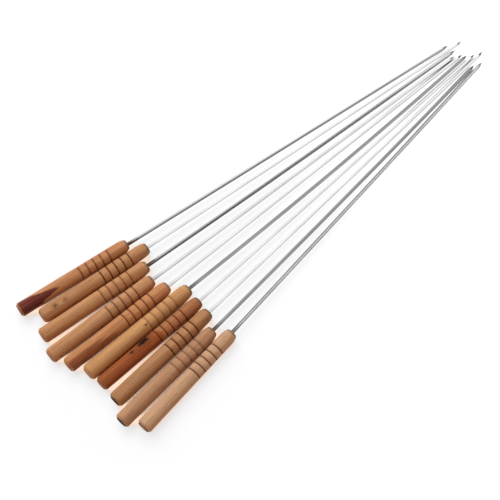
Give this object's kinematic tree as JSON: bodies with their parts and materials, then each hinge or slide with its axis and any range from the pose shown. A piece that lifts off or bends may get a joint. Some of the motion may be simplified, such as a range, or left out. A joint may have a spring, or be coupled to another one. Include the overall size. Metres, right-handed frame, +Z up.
{
  "type": "kebab skewer set",
  "caption": "Kebab skewers laid side by side as a fan: turned wooden handles with burnt grooves on square steel rods with ground points.",
  "frame": {"origin": "on the table, under the middle of the whole fan", "axes": "+X along the fan's middle line from the handles to the points, +Z up from the table"},
  "size_m": [0.47, 0.1556, 0.0148],
  "materials": {
    "wood_tan": "bare turned hardwood, satin",
    "wood_golden": "bare turned hardwood, satin",
    "wood_orange": "bare turned hardwood, satin",
    "wood_red": "bare turned hardwood, satin",
    "steel": "bright drawn square wire"
  },
  "bodies": {
    "skewer_01": {"handle_01": "wood_orange", "rod_01": "steel"},
    "skewer_02": {"handle_02": "wood_tan", "rod_02": "steel"},
    "skewer_03": {"handle_03": "wood_tan", "rod_03": "steel"},
    "skewer_04": {"handle_04": "wood_tan", "rod_04": "steel"},
    "skewer_05": {"handle_05": "wood_orange", "rod_05": "steel"},
    "skewer_06": {"handle_06": "wood_golden", "rod_06": "steel"},
    "skewer_07": {"handle_07": "wood_red", "rod_07": "steel"},
    "skewer_08": {"handle_08": "wood_tan", "rod_08": "steel"},
    "skewer_09": {"handle_09": "wood_tan", "rod_09": "steel"},
    "skewer_10": {"handle_10": "wood_golden", "rod_10": "steel"}
  },
  "joints": [
    {"name": "lift_01", "type": "slide", "parent": "skewer_10", "child": "skewer_01", "axis": [0, 0, 1], "range_m": [0, 0.1]},
    {"name": "lift_02", "type": "slide", "parent": "skewer_10", "child": "skewer_02", "axis": [0, 0, 1], "range_m": [0, 0.1]},
    {"name": "lift_03", "type": "slide", "parent": "skewer_10", "child": "skewer_03", "axis": [0, 0, 1], "range_m": [0, 0.1]},
    {"name": "lift_04", "type": "slide", "parent": "skewer_10", "child": "skewer_04", "axis": [0, 0, 1], "range_m": [0, 0.1]},
    {"name": "lift_05", "type": "slide", "parent": "skewer_10", "child": "skewer_05", "axis": [0, 0, 1], "range_m": [0, 0.1]},
    {"name": "lift_06", "type": "slide", "parent": "skewer_10", "child": "skewer_06", "axis": [0, 0, 1], "range_m": [0, 0.1]},
    {"name": "lift_07", "type": "slide", "parent": "skewer_10", "child": "skewer_07", "axis": [0, 0, 1], "range_m": [0, 0.1]},
    {"name": "lift_08", "type": "slide", "parent": "skewer_10", "child": "skewer_08", "axis": [0, 0, 1], "range_m": [0, 0.1]},
    {"name": "lift_09", "type": "slide", "parent": "skewer_10", "child": "skewer_09", "axis": [0, 0, 1], "range_m": [0, 0.1]}
  ]
}
